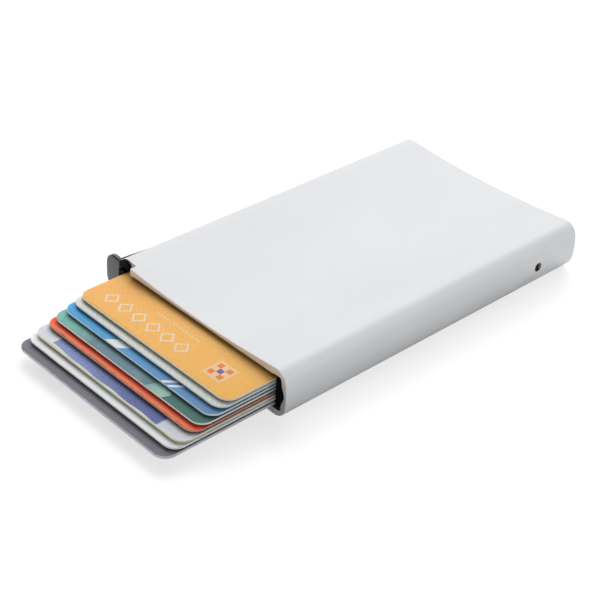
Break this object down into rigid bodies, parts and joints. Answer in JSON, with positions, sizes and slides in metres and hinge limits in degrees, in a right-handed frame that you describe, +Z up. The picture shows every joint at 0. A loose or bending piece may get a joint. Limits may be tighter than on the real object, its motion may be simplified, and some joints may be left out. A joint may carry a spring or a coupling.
{
  "type": "card holder",
  "caption": "Slim aluminium card holder whose thumb slider fans its stack of bank cards out of the mouth in a staggered row.",
  "frame": {"origin": "on the surface it rests on, under the middle of the whole object's box with the cards fanned out", "axes": "+Y from the mouth to the back of the case along the cards' travel, +Z up through the card stack, +X to the side away from the thumb slider"},
  "size_m": [0.0674, 0.1324, 0.0126],
  "materials": {
    "satin_aluminium": "bead-blasted and clear anodised, satin",
    "black_plastic": "fine moulded texture",
    "black_steel": "blackened",
    "spring_steel": "cold-rolled",
    "dark_felt": "pressed felt",
    "washer_brass": "stamped",
    "tab_plastic": "satin, dark grey",
    "arm_plastic": "moulded, grey",
    "card_orange": "printed laminate",
    "card_pale": "printed laminate",
    "card_blue": "printed laminate",
    "card_teal": "printed laminate",
    "card_red": "printed laminate",
    "card_violet": "printed laminate",
    "card_white": "printed laminate",
    "card_grey": "printed laminate"
  },
  "bodies": {
    "case": {"case_shell": "satin_aluminium", "inner_frame": "black_plastic", "rear_cap": "black_plastic", "frame_screw": "black_steel", "edge_spring": "spring_steel", "felt_strip_left": "dark_felt", "felt_strip_right": "dark_felt", "pivot_pin": "spring_steel", "pivot_washer": "washer_brass"},
    "slider": {"thumb_tab": "tab_plastic", "slide_bar": "spring_steel", "tab_rivet_front": "spring_steel", "tab_rivet_back": "spring_steel", "drive_pin": "spring_steel"},
    "arm": {"ejector_arm": "arm_plastic"},
    "orange": {"card_orange": "card_orange"},
    "pale": {"card_pale": "card_pale"},
    "blue": {"card_blue": "card_blue"},
    "teal": {"card_teal": "card_teal"},
    "red": {"card_red": "card_red"},
    "violet": {"card_violet": "card_violet"},
    "white": {"card_white": "card_white"},
    "grey": {"card_grey": "card_grey"}
  },
  "joints": [
    {"name": "slider", "type": "slide", "parent": "case", "child": "slider", "axis": [0, 1, 0], "range_m": [0, 0.0325]},
    {"name": "arm_swing", "type": "hinge", "parent": "case", "child": "arm", "pos_m": [0.02693, 0.05485, 0.00675], "axis": [0, 0, -1], "range_deg": [0, 45]},
    {"name": "grey_slide", "type": "slide", "parent": "case", "child": "grey", "axis": [0, 1, 0], "range_m": [0, 0.0325]},
    {"name": "white_slide", "type": "slide", "parent": "case", "child": "white", "axis": [0, 1, 0], "range_m": [0, 0.0298]},
    {"name": "violet_slide", "type": "slide", "parent": "case", "child": "violet", "axis": [0, 1, 0], "range_m": [0, 0.0278]},
    {"name": "red_slide", "type": "slide", "parent": "case", "child": "red", "axis": [0, 1, 0], "range_m": [0, 0.02445]},
    {"name": "teal_slide", "type": "slide", "parent": "case", "child": "teal", "axis": [0, 1, 0], "range_m": [0, 0.0224]},
    {"name": "blue_slide", "type": "slide", "parent": "case", "child": "blue", "axis": [0, 1, 0], "range_m": [0, 0.0194]},
    {"name": "pale_slide", "type": "slide", "parent": "case", "child": "pale", "axis": [0, 1, 0], "range_m": [0, 0.0169]},
    {"name": "orange_slide", "type": "slide", "parent": "case", "child": "orange", "axis": [0, 1, 0], "range_m": [0, 0.0149]}
  ],
  "couplings": [
    {"joint": "arm_swing", "follows": "slider", "rad_per_m": 24.166},
    {"joint": "grey_slide", "follows": "slider", "ratio": 1},
    {"joint": "white_slide", "follows": "slider", "ratio": 0.91692},
    {"joint": "violet_slide", "follows": "slider", "ratio": 0.85538},
    {"joint": "red_slide", "follows": "slider", "ratio": 0.75231},
    {"joint": "teal_slide", "follows": "slider", "ratio": 0.68923},
    {"joint": "blue_slide", "follows": "slider", "ratio": 0.59692},
    {"joint": "pale_slide", "follows": "slider", "ratio": 0.52},
    {"joint": "orange_slide", "follows": "slider", "ratio": 0.45846}
  ]
}
